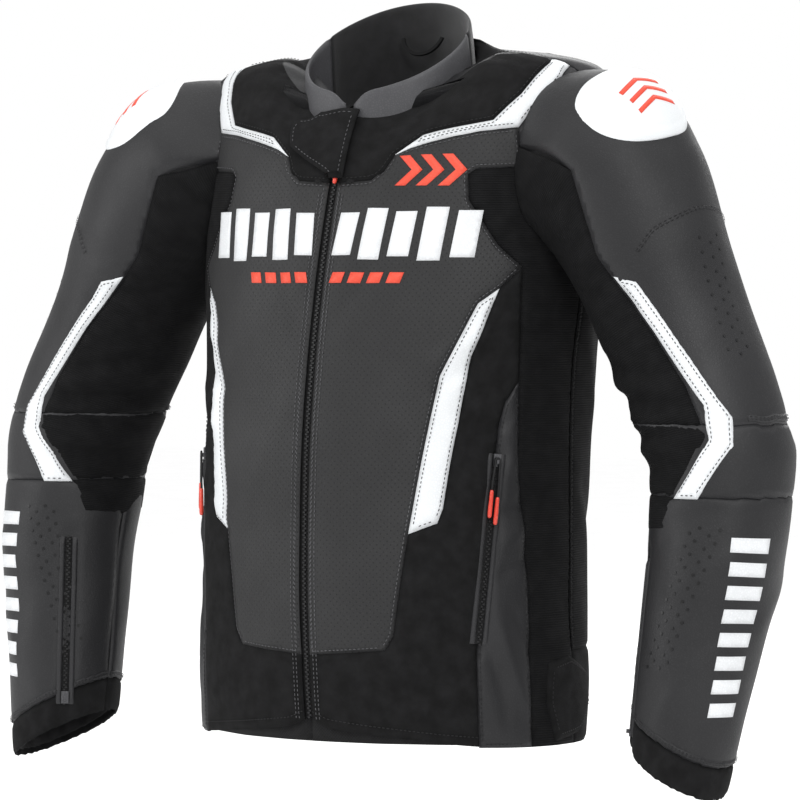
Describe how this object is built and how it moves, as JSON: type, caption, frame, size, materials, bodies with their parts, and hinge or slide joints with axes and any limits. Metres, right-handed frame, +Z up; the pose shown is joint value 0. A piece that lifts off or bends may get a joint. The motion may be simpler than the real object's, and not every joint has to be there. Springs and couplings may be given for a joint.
{
  "type": "leather riding jacket",
  "caption": "Leather and textile riding jacket with perforated front, stretch inner sleeves, moulded shoulder cups, front, pocket and cuff zips and a low stand collar.",
  "frame": {"origin": "on the mid-plane, at the height of the wearer's shoulder point beside the neck", "axes": "+Z up, -Y the jacket's front, +X the wearer's left"},
  "size_m": [0.8674, 0.3323, 0.7442],
  "materials": {
    "perforated_leather": "perforated matt",
    "white_leather": "smooth satin",
    "white_cup": "satin moulded",
    "leather": "grained semi-matt",
    "collar_leather": "grained semi-matt",
    "stretch_fabric": "ribbed stretch",
    "textile": "woven matt",
    "soft_fabric": "soft knit",
    "lining_mesh": "mesh",
    "armour": "foam",
    "red_tips": "glossy moulded",
    "cord": "braided",
    "slider_metal": "dark plated",
    "zip": "coil"
  },
  "bodies": {
    "root": {"back_hem": "textile", "back_panel": "leather", "back_protector": "armour", "back_yoke": "leather", "chest_strip_left": "white_leather", "chest_strip_right": "white_leather", "chest_yoke_left": "textile", "chest_yoke_right": "textile", "collar_back": "soft_fabric", "collar_band_left": "collar_leather", "collar_band_right": "collar_leather", "elbow_stretch_left": "stretch_fabric", "elbow_stretch_right": "stretch_fabric", "front_panel_left": "perforated_leather", "front_panel_right": "perforated_leather", "hang_loop": "soft_fabric", "lower_front_left": "textile", "lower_front_right": "textile", "main_zip": "zip", "mesh_lining": "lining_mesh", "pocket_zip_left": "zip", "pocket_zip_right": "zip", "shoulder_armour_left": "armour", "shoulder_armour_right": "armour", "shoulder_cup_left": "white_cup", "shoulder_cup_right": "white_cup", "shoulder_panel_left": "leather", "shoulder_panel_right": "leather", "side_panel_left": "leather", "side_panel_right": "leather", "side_stretch_left": "stretch_fabric", "side_stretch_right": "stretch_fabric", "sleeve_gusset_left": "stretch_fabric", "sleeve_gusset_right": "stretch_fabric", "sleeve_strip_left": "white_leather", "sleeve_strip_right": "white_leather", "storm_flap": "textile", "upper_sleeve_left": "leather", "upper_sleeve_right": "leather", "waist_strip_left": "white_leather", "waist_strip_right": "white_leather"},
    "main_slider": {"main_slider": "slider_metal", "main_cord": "cord", "main_tips": "red_tips"},
    "pocket_slider_left": {"pocket_slider_left": "slider_metal", "pocket_cord_left": "cord", "pocket_tips_left": "red_tips"},
    "forearm_left": {"forearm_left": "leather", "cuff_left": "textile", "cuff_zip_left": "zip", "elbow_armour_left": "armour"},
    "cuff_slider_left": {"cuff_slider_left": "slider_metal"},
    "pocket_slider_right": {"pocket_slider_right": "slider_metal", "pocket_cord_right": "cord", "pocket_tips_right": "red_tips"},
    "forearm_right": {"forearm_right": "leather", "cuff_right": "textile", "cuff_zip_right": "zip", "elbow_armour_right": "armour"},
    "cuff_slider_right": {"cuff_slider_right": "slider_metal"}
  },
  "joints": [
    {"name": "main_zip_run", "type": "hinge", "parent": "root", "child": "main_slider", "pos_m": [0, 1.03074, -0.48], "axis": [1, 0, 0], "range_deg": [0, 26.5]},
    {"name": "pocket_zip_run_left", "type": "slide", "parent": "root", "child": "pocket_slider_left", "axis": [-0.0568, -0.0923, -0.9941], "range_m": [0, 0.14]},
    {"name": "elbow_bend_left", "type": "hinge", "parent": "root", "child": "forearm_left", "pos_m": [0.362, -0.002, -0.385], "axis": [-1, 0, 0], "range_deg": [-8, 44], "deforming": ["elbow_stretch_left", "sleeve_strip_left"]},
    {"name": "cuff_zip_run_left", "type": "slide", "parent": "forearm_left", "child": "cuff_slider_left", "axis": [0.0362, 0.1388, 0.9897], "range_m": [0, 0.12]},
    {"name": "pocket_zip_run_right", "type": "slide", "parent": "root", "child": "pocket_slider_right", "axis": [0.0568, -0.0923, -0.9941], "range_m": [0, 0.14]},
    {"name": "elbow_bend_right", "type": "hinge", "parent": "root", "child": "forearm_right", "pos_m": [-0.362, -0.002, -0.385], "axis": [-1, 0, 0], "range_deg": [-8, 44], "deforming": ["elbow_stretch_right", "sleeve_strip_right"]},
    {"name": "cuff_zip_run_right", "type": "slide", "parent": "forearm_right", "child": "cuff_slider_right", "axis": [-0.0539, 0.1208, 0.9912], "range_m": [0, 0.12]}
  ]
}
